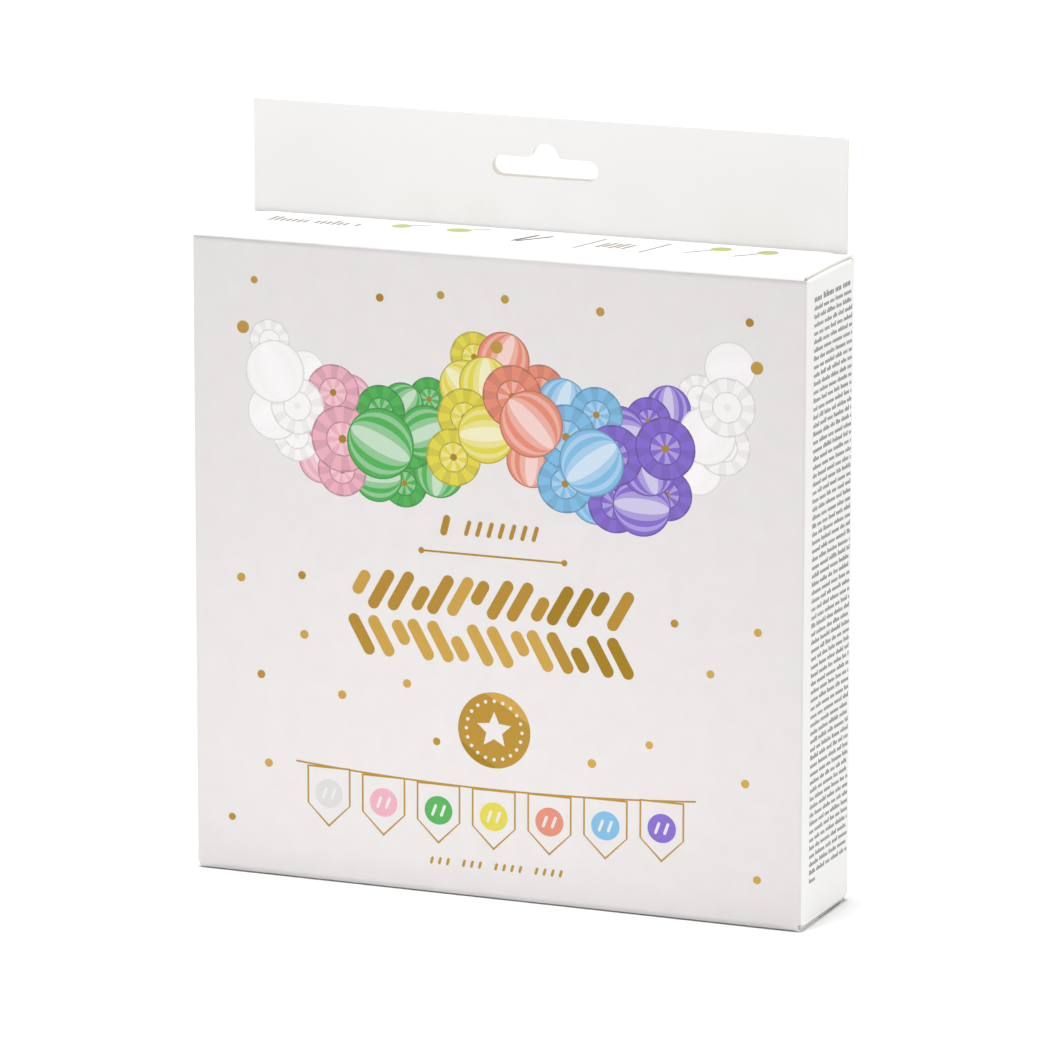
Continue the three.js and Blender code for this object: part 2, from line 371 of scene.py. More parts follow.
def stroke(x0, y0, x1, y1, width, steps=6):
    """A straight stroke with round ends."""
    a = math.degrees(math.atan2(y1 - y0, x1 - x0))
    return (arc(x1, y1, width / 2, a - 90, a + 90, steps)
            + arc(x0, y0, width / 2, a + 90, a + 270, steps))


def ribbon(points, width):
    """A line of even width along a row of points, with cut ends."""
    left, right = [], []
    for i, (x, y) in enumerate(points):
        x0, y0 = points[max(i - 1, 0)]
        x1, y1 = points[min(i + 1, len(points) - 1)]
        length = math.hypot(x1 - x0, y1 - y0)
        dx, dy = (x1 - x0) / length, (y1 - y0) / length
        left.append((x - dy * width / 2, y + dx * width / 2))
        right.append((x + dy * width / 2, y - dx * width / 2))
    return left + right[::-1]


def box(x0, y0, x1, y1):
    return [(x0, y0), (x1, y0), (x1, y1), (x0, y1)]


# Hang slot: the two glued plies don't line up to the last fraction of a millimetre
SLOT_DROP = 7.4
SLOT_WIDTH = 33.0
SLOT_END = 6.0
SLOT_RISE = 4.2
SLOT_RISE_RADIUS = 4.2
SLOT_SHOULDER = 1.6
PLY_SHIFT = 0.35
PLY_DROP = 0.3


def slot_outline(cx, bottom):
    """The hang slot: round ends and a round rise in the middle, with hollow shoulders."""
    radius = SLOT_END / 2
    shoulder = bottom + SLOT_END
    top = shoulder + SLOT_RISE - SLOT_RISE_RADIUS
    lift = top - (shoulder + SLOT_SHOULDER)
    half = math.sqrt((SLOT_RISE_RADIUS + SLOT_SHOULDER) ** 2 - lift ** 2)
    tilt = math.degrees(math.atan2(lift, half))
    side = SLOT_WIDTH / 2 - radius
    return (arc(cx + side, bottom + radius, radius, -90, 90, 10)
            + arc(cx + half, shoulder + SLOT_SHOULDER, SLOT_SHOULDER, -90, -180 - tilt, 5)
            + arc(cx, top, SLOT_RISE_RADIUS, -tilt, 180 + tilt, 14)
            + arc(cx - half, shoulder + SLOT_SHOULDER, SLOT_SHOULDER, tilt, -90, 5)
            + arc(cx - side, bottom + radius, radius, 90, 270, 10))


# The shortest stretch that an outline is cut into
SHORTEST = 0.06


def densify(outline, columns, rows):
    """The outline with a point wherever it crosses one of the columns or rows."""
    points = []
    for (u0, v0), (u1, v1) in zip(outline, outline[1:] + outline[:1]):
        shares = [(u - u0) / (u1 - u0) for u in columns if min(u0, u1) < u < max(u0, u1)]
        shares += [(v - v0) / (v1 - v0) for v in rows if min(v0, v1) < v < max(v0, v1)]
        points.append((u0, v0))
        length, last = math.hypot(u1 - u0, v1 - v0), 0.0
        for share in sorted(shares):
            if min(share - last, 1 - share) * length > SHORTEST:
                points.append((u0 + (u1 - u0) * share, v0 + (v1 - v0) * share))
                last = share
    return points


# Materials: grain is the fineness of the surface, relief the depth of its bump in metres
INK_GRAIN = 1800
INK_RELIEF = 0.000004
FOIL_GRAIN = 2400
FOIL_RELIEF = 0.000012
COATED_ROUGH = (0.34, 0.46)
FOIL_ROUGH = (0.22, 0.5)
DULL_ROUGH = (0.4, 0.55)
BRIGHT_ROUGH = (0.3, 0.42)
COAT = 0.15
COAT_ROUGHNESS = 0.25
GRAIN_DETAIL = (3.0, 0.6)
CLOUD_DETAIL = (5.0, 0.55)
CLOUD_SIZE = 12
PALEST = 0.86


def noise_node(nodes, scale, detail, roughness, coordinates, links):
    texture = nodes.new("ShaderNodeTexNoise")
    texture.inputs["Scale"].default_value = scale
    texture.inputs["Detail"].default_value = detail
    texture.inputs["Roughness"].default_value = roughness
    links.new(coordinates.outputs["Object"], texture.inputs["Vector"])
    return texture


def ramp_node(nodes, links, source, low, high):
    ramp = nodes.new("ShaderNodeMapRange")
    ramp.inputs["To Min"].default_value = low
    ramp.inputs["To Max"].default_value = high
    links.new(source, ramp.inputs["Value"])
    return ramp.outputs["Result"]


def finish_of(name, colour, rough, grain, relief, metallic=0.0, coat=0.0, fleck=None):
    """Board or ink: rough is a range that follows the grain, and fleck is a second colour that
    mixes in by soft clouds."""
    material = bpy.data.materials.new(name)
    material.use_nodes = True
    nodes, links = material.node_tree.nodes, material.node_tree.links
    shader = nodes["Principled BSDF"]
    shader.inputs["Base Color"].default_value = (*colour, 1)
    shader.inputs["Metallic"].default_value = metallic
    shader.inputs["Coat Weight"].default_value = coat
    shader.inputs["Coat Roughness"].default_value = COAT_ROUGHNESS
    coordinates = nodes.new("ShaderNodeTexCoord")
    fine = noise_node(nodes, grain, *GRAIN_DETAIL, coordinates, links)
    links.new(ramp_node(nodes, links, fine.outputs["Fac"], *rough), shader.inputs["Roughness"])
    bump = nodes.new("ShaderNodeBump")
    bump.inputs["Strength"].default_value = 1.0
    bump.inputs["Distance"].default_value = relief
    links.new(fine.outputs["Fac"], bump.inputs["Height"])
    links.new(bump.outputs["Normal"], shader.inputs["Normal"])
    if fleck:
        cloud = noise_node(nodes, grain / CLOUD_SIZE, *CLOUD_DETAIL, coordinates, links)
        mix = nodes.new("ShaderNodeMix")
        mix.data_type = "RGBA"
        mix.inputs["A"].default_value = (*colour, 1)
        mix.inputs["B"].default_value = (*fleck, 1)
        links.new(cloud.outputs["Fac"], mix.inputs["Factor"])
        links.new(mix.outputs["Result"], shader.inputs["Base Color"])
    return material


def linear(r, g, b):
    return tuple((c / 255 / 12.92) if c <= 10 else ((c / 255 + 0.055) / 1.055) ** 2.4
                 for c in (r, g, b))


def shade(colour, amount):
    """Darker below 0, towards white above 0."""
    if amount < 0:
        return tuple(c * (1 + amount) for c in colour)
    return tuple(c + (PALEST - c) * amount for c in colour)


def coated_of(name, colour, fleck):
    return finish_of(name, colour, COATED_ROUGH, INK_GRAIN, INK_RELIEF, coat=COAT, fleck=fleck)


def foil_of(name, colour):
    return finish_of(name, colour, FOIL_ROUGH, FOIL_GRAIN, FOIL_RELIEF, metallic=1.0)


def dull_ink(name, colour):
    return finish_of(name, colour, DULL_ROUGH, INK_GRAIN, INK_RELIEF)


def bright_ink(name, colour):
    return finish_of(name, colour, BRIGHT_ROUGH, INK_GRAIN, INK_RELIEF, coat=COAT)


looks = {
    "coated": coated_of("coated_board", linear(239, 238, 237), linear(239, 238, 237)),
    # front: the front panel's ground, a darker tint of the coated board that is painted shade for
    # the lesser light on the front
    "front": coated_of("front_ground_painted_shade", linear(210, 207, 206), linear(218, 215, 214)),
    "plain": finish_of("uncoated_board", linear(234, 231, 223), (0.7, 0.9), 900, 0.00003,
                       fleck=linear(228, 224, 214)),
    "core": finish_of("board_core", linear(240, 238, 230), (0.75, 0.95), 2600, 0.00004,
                      fleck=linear(234, 231, 221)),
    "gold": foil_of("gold_foil", linear(159, 124, 52)),
    # Darker and lighter copies of the gold foil: painted shade and painted sheen, where the foil
    # would catch the light less or more
    "gold_painted_shade": foil_of("gold_foil_painted_shade", linear(143, 112, 38)),
    "gold_painted_sheen": foil_of("gold_foil_painted_sheen", linear(178, 143, 69)),
    "grey": dull_ink("grey_ink", linear(68, 64, 63)),
    "mid_grey": dull_ink("mid_grey_ink", linear(138, 134, 132)),
    "olive": dull_ink("olive_ink", linear(164, 172, 96)),
    "brown": dull_ink("brown_ink", linear(138, 124, 106)),
}
HUES = {
    "white": linear(229, 226, 226),
    "pink": linear(217, 158, 173),
    "green": linear(56, 160, 64),
    "yellow": linear(207, 194, 48),
    "coral": linear(211, 124, 98),
    "blue": linear(110, 170, 208),
    "purple": linear(115, 86, 188),
}
TONES = {"deep": -0.42, "dark": -0.16, "mid": 0.0, "light": 0.22, "pale": 0.5}
WHITE_SHARE = 0.6
for hue, colour in HUES.items():
    for tone, amount in TONES.items():
        amount = amount * WHITE_SHARE if hue == "white" else amount
        looks[hue + "_" + tone] = bright_ink("ink_" + hue + "_" + tone, shade(colour, amount))

# Cutting, printing and folding of a blank: lengths on the blank are along its outer face
CUT = "cut"
MERGE = 1e-5
PROBE = 0.05
CREASE_CLEAR = 0.4
CREASE_LEAD = 1.2


def anticlockwise(loop):
    area = sum(x0 * y1 - x1 * y0 for (x0, y0), (x1, y1) in zip(loop, loop[1:] + loop[:1]))
    return loop if area > 0 else loop[::-1]


def triangles_of(regions, grid):
    """Triangles of the blank, each with the look of the last region painted over it."""
    points, loops = [], []
    for _, loop in regions:
        loops.append(range(len(points), len(points) + len(loop)))
        points += [Vector(p) for p in anticlockwise(loop)]
    points += [Vector(p) for p in grid]
    places, _, faces, _, _, sources = delaunay_2d_cdt(
        points, [], [list(loop) for loop in loops], 1, MERGE, True)
    kept = [(face, regions[max(source)][0]) for face, source in zip(faces, sources)
            if 0 in source]
    return places, [(face, look) for face, look in kept if look != CUT]


def stations(low, high, step, dense=()):
    """Even stations from low to high, with closer ones across the creases in dense."""
    values = [low + (high - low) * i / round((high - low) / step)
              for i in range(round((high - low) / step) + 1)]
    for start, length in dense:
        values = [v for v in values
                  if not start - CREASE_CLEAR < v < start + length + CREASE_CLEAR]
        values += [start + length * i / ARC_STEPS for i in range(ARC_STEPS + 1)]
        values += [start - CREASE_LEAD, start + length + CREASE_LEAD]
    return sorted(values)


def folded(name, outline, holes, prints, inner_prints, place, grid, body, nodes):
    """A piece of board as a mesh: printed face, inner face and raw edges."""
    verts, faces, materials, normals, smooth_faces = [], [], [], [], []
    slots = []

    def slot_of(look):
        if look not in slots:
            slots.append(look)
        return slots.index(look)

    def key(point):
        return round(point[0], 3), round(point[1], 3)

    def frame_at(u, v):
        """Place, outward normal, and whether the blank's own sense agrees with it."""
        centre, out = place(u, v)
        across = place(u + PROBE, v)[0] - place(u - PROBE, v)[0]
        along = place(u, v + PROBE)[0] - place(u, v - PROBE)[0]
        normal = across.cross(along).normalized()
        if normal.dot(out) < 0:
            return centre, -normal, -1
        return centre, normal, 1

    cuts = [(CUT, hole) for hole in holes]
    rims = []
    for side, regions in ((1, [("coated", outline)] + cuts + prints),
                          (-1, [("plain", outline)] + inner_prints + cuts)):
        places, triangles = triangles_of(regions, grid)
        used = sorted({i for face, _ in triangles for i in face})
        start = len(verts)
        index, spot, turned = {}, {}, {}
        for i in used:
            u, v = places[i]
            centre, normal, turn = frame_at(u, v)
            index[i] = len(verts)
            spot[key(places[i])] = len(verts)
            turned[i] = turn
            verts.append(centre - normal * (0 if side > 0 else BOARD))
            normals.append(normal * side)
        edges = {}
        for face, look in triangles:
            order = list(face) if turned[face[0]] * side > 0 else list(face)[::-1]
            faces.append([index[i] for i in order])
            materials.append(slot_of(look))
            smooth_faces.append(True)
            for a, b in zip(order, order[1:] + order[:1]):
                edges[(a, b)] = True
        rim = [(a, b) for a, b in edges if (b, a) not in edges]
        rims.append((rim, places, index, spot))
    (outer_rim, outer_places, outer_index, _), (_, _, _, inner_spot) = rims
    for a, b in outer_rim:
        inner_a, inner_b = (inner_spot[key(outer_places[i])] for i in (a, b))
        faces.append([outer_index[b], outer_index[a], inner_a, inner_b])
        materials.append(slot_of("core"))
        smooth_faces.append(False)
    mesh = bpy.data.meshes.new(name)
    mesh.from_pydata([v * MM for v in verts], [], faces)
    for look in slots:
        mesh.materials.append(looks[look])
    mesh.polygons.foreach_set("material_index", materials)
    mesh.polygons.foreach_set("use_smooth", smooth_faces)
    mesh.update()
    loop_normals = [Vector((0, 0, 0))] * len(mesh.loops)
    for polygon, is_smooth in zip(mesh.polygons, smooth_faces):
        for loop in polygon.loop_indices:
            if is_smooth:
                loop_normals[loop] = normals[mesh.loops[loop].vertex_index]
            else:
                loop_normals[loop] = polygon.normal.copy()
    mesh.normals_split_custom_set(loop_normals)
    piece = bpy.data.objects.new(name, mesh)
    bpy.context.scene.collection.objects.link(piece)
    if isinstance(body, str):
        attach(piece, body)
    else:
        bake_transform(piece)
    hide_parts(*nodes)
    return piece


# Print: x from the panel's left edge, or y from its front edge, and z from the floor. Its numbers
# are places and sizes in millimetres, and shares of them; a seed fixes what is drawn at random.
INK_LINE = 0.3
INNER_LINE = 0.25
BUTTON_SHARE = 0.13
PLEAT_SHARE = 0.97
RIB_SHARE = 0.004
# The gold foil's patches of painted sheen and painted shade: their scales across and up, seed, and
# how far the noise strays before a patch begins
FOIL_ACROSS, FOIL_UP, FOIL_SEED, FOIL_SPLIT = 0.045, 0.07, 2.5, 0.16
TITLE_LEFT, TITLE_LENGTH, TITLE_COUNT = 50, 87, 14
TITLE_ROWS = ((83.3, 3.4), (69.4, -3.4))
TITLE_TALL, TITLE_SHORT, TITLE_STROKE, TITLE_HALF = 12.0, 7.4, 3.6, 6
TITLE_STAGGER = 1.6
TALL_SHARES = (0.68, 0.68, 0.68, 0.68, 1.0)
STROKE_PITCH = 1.45
WORD_SPACE = 1.5
STAR_REACH = (5.6, 2.6)
DOT_RING, DOT_RADIUS, DOT_COUNT = 8.7, 0.55, 20
PENNANT_HALF, PENNANT_SIDE, PENNANT_DEPTH, PENNANT_POINT = 6.9, 11.5, 18.6, 1.45
CONFETTI_CLEAR = 17
CONFETTI_RADII = (1.1, 1.35)
# The front's painted shade: how far inside the corner creases it stays below its foot, and how far
# its foot stands above the base crease
SHADE_INSET, SHADE_FOOT = 0.1, 0.15


def on_front(loop):
    return [(front(x - HALF_WIDTH), z) for x, z in loop]


class Press:
    """Collects printed shapes; a later one lies over an earlier one."""

    def __init__(self, to_blank):
        self.to_blank = to_blank
        self.shapes = []

    def put(self, look, loop):
        self.shapes.append((look, self.to_blank(loop)))


def rosette(press, x, z, radius, hue, turn):
    """A pleated paper rosette with a smaller one on it and a gold button."""
    press.put(hue + "_deep", circle(x, z, radius + INK_LINE, 36))
    for share, tones, pleats in ((1.0, ("dark", "mid"), 18), (0.52, ("light", "mid"), 14)):
        outer = radius * share
        if share < 1:
            press.put(hue + "_deep", circle(x, z, outer + INNER_LINE, 30))
        for i in range(pleats):
            a0 = turn + 2 * math.pi * i / pleats
            a1 = turn + 2 * math.pi * (i + 1) / pleats
            rim = outer if i % 2 else outer * PLEAT_SHARE
            press.put(hue + "_" + tones[i % 2], [
                (x, z), (x + rim * math.cos(a0), z + rim * math.sin(a0)),
                (x + rim * math.cos(a1), z + rim * math.sin(a1))])
    press.put("gold" if hue != "white" else "white_dark",
              circle(x, z, radius * BUTTON_SHARE, 14))


def paper_ball(press, x, z, radius, hue, turn):
    """A honeycomb paper ball: ribs from pole to pole."""
    press.put(hue + "_deep", circle(x, z, radius + INK_LINE, 36))
    tones = ("dark", "mid", "light", "mid", "light", "pale")
    for i, tone in enumerate(tones):
        width = math.cos(math.pi / 2 * i / len(tones))
        press.put(hue + "_" + tone,
                  circle(x, z, radius * (1 - RIB_SHARE * i), 32, width, turn))


def garland(press):
    """Two shallow swags of rosettes and paper balls in rainbow order, on a gold cord."""
    rng = random.Random(12)
    left, right, top, drop = 21.0, 170.0, 155.0, 22.0
    middle = (left + right) / 2

    def swag(t):
        x = left + (right - left) * t
        local = (2 * t) % 1.0 if t < 1 else 1.0
        return x, top - drop * (1 - (2 * local - 1) ** 2)

    press.put("gold", ribbon([swag(i / 60) for i in range(61)], 0.7))
    order = list(HUES) + ["white"]
    motifs = []
    count = 18
    for i in range(count):
        t = (i + 0.5) / count
        x, z = swag(t)
        hue = order[min(int(t * len(order)), len(order) - 1)]
        for j, (up, size) in enumerate(((0.0, 9.2), (10.5, 7.2), (-11.5, 7.8))):
            radius = size * rng.uniform(0.85, 1.12)
            px = x + rng.uniform(-3.0, 3.0)
            pz = z + up + rng.uniform(-2.0, 2.0)
            motifs.append((radius, px, pz, hue, (i + j) % 2, rng.uniform(0, math.pi)))
    motifs.sort()
    for radius, x, z, hue, kind, turn in motifs:
        (rosette if kind else paper_ball)(press, x, z, radius, hue, turn)
    # Three pins in the foil's painted sheen
    for x in (left - 5, middle, right + 5):
        press.put("gold_painted_sheen", circle(x, top + 8.5, 1.9, 20))


def foil(x, z):
    """The tone of gold foil at a place: it catches the light in broad patches."""
    patch = noise.noise(Vector((x * FOIL_ACROSS, z * FOIL_UP, FOIL_SEED)))
    if patch > FOIL_SPLIT:
        return "gold_painted_sheen"
    return "gold_painted_shade" if patch < -FOIL_SPLIT else "gold"


def title_rows(press, lift=0.0):
    """Two rows of bold gold strokes that lean, long and short in turn."""
    for row, (bottom, lean) in enumerate(TITLE_ROWS):
        for i in range(TITLE_COUNT):
            x = TITLE_LEFT + TITLE_LENGTH * (i + 0.5) / TITLE_COUNT
            tall = (i + row) % 3
            middle = bottom + lift + TITLE_HALF + (0 if tall else (-1) ** i * TITLE_STAGGER)
            reach = ((TITLE_TALL if tall else TITLE_SHORT) - TITLE_STROKE) / 2
            tilt = lean * reach / TITLE_HALF
            # By its place, each stroke takes the plain foil, its painted sheen, or its painted
            # shade
            press.put(foil(x, middle), stroke(x - tilt, middle - reach, x + tilt, middle + reach,
                                              TITLE_STROKE, 8))


def small_strokes(press, look, left, right, bottom, height, width, seed, word=4):
    """A row of short strokes in groups, as a line of small print reads from a distance."""
    rng = random.Random(seed)
    x = left
    while x < right:
        for _ in range(rng.randint(max(word - 2, 1), word + 3)):
            if x + width > right:
                return
            tall = height * rng.choice(TALL_SHARES)
            press.put(look, box(x, bottom, x + width, bottom + tall))
            x += width * STROKE_PITCH
        x += width * WORD_SPACE


def badge(press):
    """Gold disc with a painted highlight and painted shade at its rim, and a star and a ring of
    dots left out of it.
    """
    x, z, radius = 94.8, 50.5, 11.3
    press.put("gold", circle(x, z, radius, 64))
    # Painted highlight along the disc's upper right rim, painted shade along its lower left
    press.put("gold_painted_sheen", arc(x, z, radius - 0.05, 15, 105, 16))
    press.put("gold_painted_shade", arc(x, z, radius - 0.05, 200, 275, 14))
    star = []
    for i in range(10):
        reach = STAR_REACH[i % 2]
        a = math.pi / 2 + math.pi * i / 5
        star.append((x + reach * math.cos(a), z + reach * math.sin(a)))
    # The star and the dots are left out of the gold in the front's ground, its tint of painted
    # shade
    press.put("front", star)
    for i in range(DOT_COUNT):
        a = 2 * math.pi * i / DOT_COUNT
        press.put("front", circle(x + DOT_RING * math.cos(a), z + DOT_RING * math.sin(a),
                                  DOT_RADIUS, 10))


def pennant(x, z, inset):
    """A pennant that hangs from (x, z), or the same drawn smaller by inset all round."""
    half = PENNANT_HALF - inset
    return [(x - half, z - inset), (x + half, z - inset), (x + half, z - PENNANT_SIDE),
            (x, z - PENNANT_DEPTH + inset * PENNANT_POINT), (x - half, z - PENNANT_SIDE)]


def pennants(press, ground):
    """Seven outlined pennants on a slack cord, each with a coloured disc."""
    first, pitch, top, sag, line = 42.5, 17.4, 35.4, 2.6, 0.55

    def cord(x):
        u = (x - first - 3 * pitch) / (3.6 * pitch)
        return top - sag * (1 - u * u)

    start, end = first - 0.6 * pitch, first + 6.6 * pitch
    along = [start + (end - start) * i / 40 for i in range(41)]
    press.put("gold", ribbon([(x, cord(x)) for x in along], line))
    for i, hue in enumerate(HUES):
        x = first + pitch * i
        z = cord(x)
        press.put("gold", pennant(x, z, 0.0))
        # Inside the gold outline, and in the two strokes on the disc, the panel's ground look: on
        # the front its tint of painted shade, on the back the coated board
        press.put(ground, pennant(x, z, line))
        press.put(hue + "_mid" if hue != "white" else "white_deep", circle(x, z - 8.2, 4.4, 36))
        for side in (-1, 1):
            press.put(ground, stroke(x + side * 1.4 - 0.5, z - 9.6, x + side * 1.4 + 0.5,
                                     z - 6.8, 0.9, 5))


def confetti(press, count, low, high, keep_out, seed):
    """Small gold dots thrown over a panel, clear of what else is printed on it."""
    rng = random.Random(seed)
    placed = []
    while len(placed) < count:
        x, z = rng.uniform(low[0], high[0]), rng.uniform(low[1], high[1])
        blocked = any(x0 < x < x1 and z0 < z < z1 for x0, z0, x1, z1 in keep_out)
        if blocked or any(math.hypot(x - a, z - b) < CONFETTI_CLEAR for a, b in placed):
            continue
        placed.append((x, z))
        # Two dots in three take the foil's painted sheen
        press.put("gold_painted_sheen" if len(placed) % 3 else "gold",
                  circle(x, z, rng.uniform(*CONFETTI_RADII), 18))


def front_print():
    press = Press(on_front)
    # The front panel's ground is a darker tint of the board: painted shade for the lesser light on
    # the front. It reaches half way round the corner creases, so that its tone passes into the
    # sides' across them, and, just inside the corners, down into the bottom crease.
    painted_shade_reach, edge = CREASE - CREASE * math.pi / 4, CREASE + SHADE_INSET
    foot = BASE_CREASE + SHADE_FOOT
    left = [(edge, CREASE / 4), (edge, foot), (painted_shade_reach, foot), (painted_shade_reach, WALL_TOP - GAP)]
    press.put("front", left + [(2 * HALF_WIDTH - x, z) for x, z in left[::-1]])
    confetti(press, 22, (10, 8), (180, 182), (
        (8, 108, 182, 175), (44, 62, 144, 114), (78, 34, 112, 66), (30, 5, 160, 41)), 5)
    garland(press)
    press.put("gold", stroke(79.0, 108.0, 80.0, 112.0, 2.2))
    for x in (86.5, 90.0, 93.5, 97.0, 100.5, 104.0, 107.5):
        press.put("gold", stroke(x - 0.5, 108.0, x + 0.5, 111.4, 1.3))
    press.put("gold", ribbon([(72.0, 102.0), (116.5, 102.0)], 0.6))
    for x in (72.0, 116.5):
        press.put("gold", circle(x, 102.0, 0.95, 14))
    title_rows(press)
    badge(press)
    pennants(press, "front")
    for i in range(17):
        x = 74 + 43 * (i + 0.5) / 17
        if i not in (3, 7, 12):
            press.put("gold", stroke(x - 0.2, 8.4, x + 0.2, 9.9, 0.85, 4))
    return press.shapes


def side_print():
    """The right side is filled with rows of fine grey strokes, the first bolder."""
    press = Press(lambda loop: [(right_side(FRONT + y), z) for y, z in loop])
    rows, first, pitch = 71, 182.4, 2.42
    for i in range(rows):
        bold = i == 0
        end = 37.6 if i < rows - 1 else 12.0
        small_strokes(press, "grey", 6.0, end, first - pitch * i, 1.9 if bold else 1.4,
                      0.85 if bold else 0.6, 100 + i, word=6)
    return press.shapes


def left_print():
    """The left side: a column of coloured discs over three blocks of fine strokes."""
    press = Press(lambda loop: [(left_side(FRONT + y), z) for y, z in loop])
    for i, hue in enumerate(HUES):
        tone = "_dark" if hue == "white" else "_mid"
        press.put(hue + tone, circle(20.0, 170.0 - 9.5 * i, 3.4, 28))
    for block, top in enumerate((96.0, 66.0, 36.0)):
        for row in range(8):
            small_strokes(press, "grey", 7.0, 33.0, top - 2.6 * row, 1.45, 0.62,
                          200 + 10 * block + row)
    return press.shapes


def rear_print():
    """The back: the front's title strokes and pennants, with two columns of fine strokes."""
    press = Press(lambda loop: [(outer_rear(HALF_WIDTH - x), z) for x, z in loop])
    title_rows(press, 78.0)
    for column, left in enumerate((24.0, 102.0)):
        for row in range(24):
            end = left + (64.0 if row % 8 else 40.0)
            small_strokes(press, "grey", left, end, 130.0 - 3.2 * row - 4.0 * (row // 8),
                          1.7, 0.75, 300 + 30 * column + row, word=5)
    pennants(press, "coated")
    return press.shapes


def lid_print():
    """The lid: strokes of small print, then a row of small signs of discs, stalks and bars."""
    press = Press(lambda loop: [(x - HALF_WIDTH, lid_section.measure(2, (FRONT + y, LID_TOP)))
                                for x, y in loop])
    small_strokes(press, "mid_grey", 13.0, 42.0, 24.0, 7.5, 1.25, 40, word=6)
    for x, y, half, stalk, rise in ((53.4, 30.0, 3.0, 7.0, 5.0), (71.4, 30.0, 3.8, 7.5, 5.0),
                                    (152.3, 31.0, 3.1, -7.5, -9.0),
                                    (166.6, 31.0, 3.1, -7.0, -9.0)):
        press.put("mid_grey", stroke(x, y, x + stalk, y + rise, 1.4, 5))
        press.put("olive", circle(x, y, 3.4, 20, half / 3.4))
    for x, turn in ((94.4, 2.4), (97.9, 4.4)):
        press.put("grey", stroke(x - turn, 21.0, x + turn / 2, 31.0, 1.5, 5))
    for x in (112.5, 132.5):
        press.put("mid_grey", stroke(x, 17.0, x + 3.5, 33.0, 1.2, 5))
    for i in range(5):
        x = 118.0 + 2.0 * i
        press.put("brown", stroke(x, 20.0 + i % 2, x + 1.4, 27.0 + i % 2, 1.3, 5))
    return press.shapes


# Blanks: the steps of their grids, and how far a grid stays inside its outline
SHELL_STEP = 6.0
BASE_STEP = 4.0
BASE_ROWS_FROM = 0.85
LID_STEPS = (5.0, 4.0)
TUCK_STEPS = (6.0, 4.0)
DUST_STEPS = (4.0, 5.0)
CORNER_STEP = 1.21
CORNER_MARGIN = 1.0
GRID_MARGIN = 0.5
END_MARGIN = 0.2
# Outlines: the base flaps' notch and taper, and where the lid and tuck flap step in, in creases
FLAP_NOTCH = 2.3
FLAP_TAPER = 1.0
LID_STEP_AT = 1.5
TUCK_STEP_AT = 1.6
ROLL_HALF = FLAT + 0.1


def header_outline(rear):
    right, left = rear(HEADER_HALF), rear(-HEADER_HALF)
    points = [(right, CORNER_TOP)]
    points += arc(right - HEADER_CORNER, HEADER_TOP - HEADER_CORNER, HEADER_CORNER, 0, 90, 4)
    points += arc(left + HEADER_CORNER, HEADER_TOP - HEADER_CORNER, HEADER_CORNER, 90, 180, 4)
    return points + [(left, CORNER_TOP)]


def shell_outline():
    """The walls, base and header in one: s along the walls, heights below 0 run into the base."""
    end = wrap.start
    drop = CREASE * QUARTER_TURN - CREASE
    base_end = -(CREASE_REAR - FRONT) - drop
    tuck_end = base_end - CREASE * QUARTER_TURN - (BASE_TUCK - CREASE)
    flap_end = BASE_FLAP - DUST_LENGTH - drop
    crease_end = BASE_FLAP - CREASE - drop

    def base_flap(wall):
        """Outline of a base dust flap below the side wall, in order along the walls."""
        step = wall(CREASE_REAR)
        toward = 1 if step > wall(CREASE_FRONT) else -1
        points = [(wall(CREASE_FRONT), BASE_CREASE), (wall(CREASE_FRONT), crease_end),
                  (wall(CREASE_FRONT + DUST_TAPER_FRONT), flap_end),
                  (wall(CREASE_REAR - DUST_TAPER_REAR), flap_end),
                  (wall(CREASE_REAR - DUST_CORNER), crease_end - FLAP_NOTCH),
                  (step, crease_end - FLAP_NOTCH), (step, BASE_CREASE)]
        return points if toward > 0 else points[::-1]

    bottom = [(0.0, 0.0), (inner_rear(FLAT), 0.0), (inner_rear(FLAT), BASE_CREASE)]
    bottom += base_flap(right_side)
    bottom += [(front(FLAT), BASE_CREASE), (front(FLAT), base_end),
               (front(TUCK_HALF), base_end - FLAP_TAPER), (front(TUCK_HALF), tuck_end),
               (front(-TUCK_HALF), tuck_end), (front(-TUCK_HALF), base_end - FLAP_TAPER),
               (front(-FLAT), base_end), (front(-FLAT), BASE_CREASE)]
    bottom += base_flap(left_side)
    bottom += [(outer_rear(-FLAT), BASE_CREASE), (outer_rear(-FLAT), 0.0), (end, 0.0)]

    def side_top(wall):
        """Outline of a side wall's top edge, against the order along the walls."""
        first, last = sorted((wall(CREASE_FRONT - GAP), wall(CREASE_REAR + GAP)), reverse=True)
        return [(first, CORNER_TOP), (first, SIDE_TOP), (last, SIDE_TOP), (last, CORNER_TOP)]

    top = [(end, CORNER_TOP)] + header_outline(outer_rear) + side_top(left_side)
    top += [(front(-FLAT), CORNER_TOP), (front(-FLAT), WALL_TOP),
            (front(FLAT), WALL_TOP), (front(FLAT), CORNER_TOP)]
    top += side_top(right_side) + header_outline(inner_rear) + [(0.0, CORNER_TOP)]
    return bottom + top


def crease_rows(section):
    return [WALL_TOP - start - length * i / ARC_STEPS
            for start, length in section.creases() for i in range(ARC_STEPS + 1)]


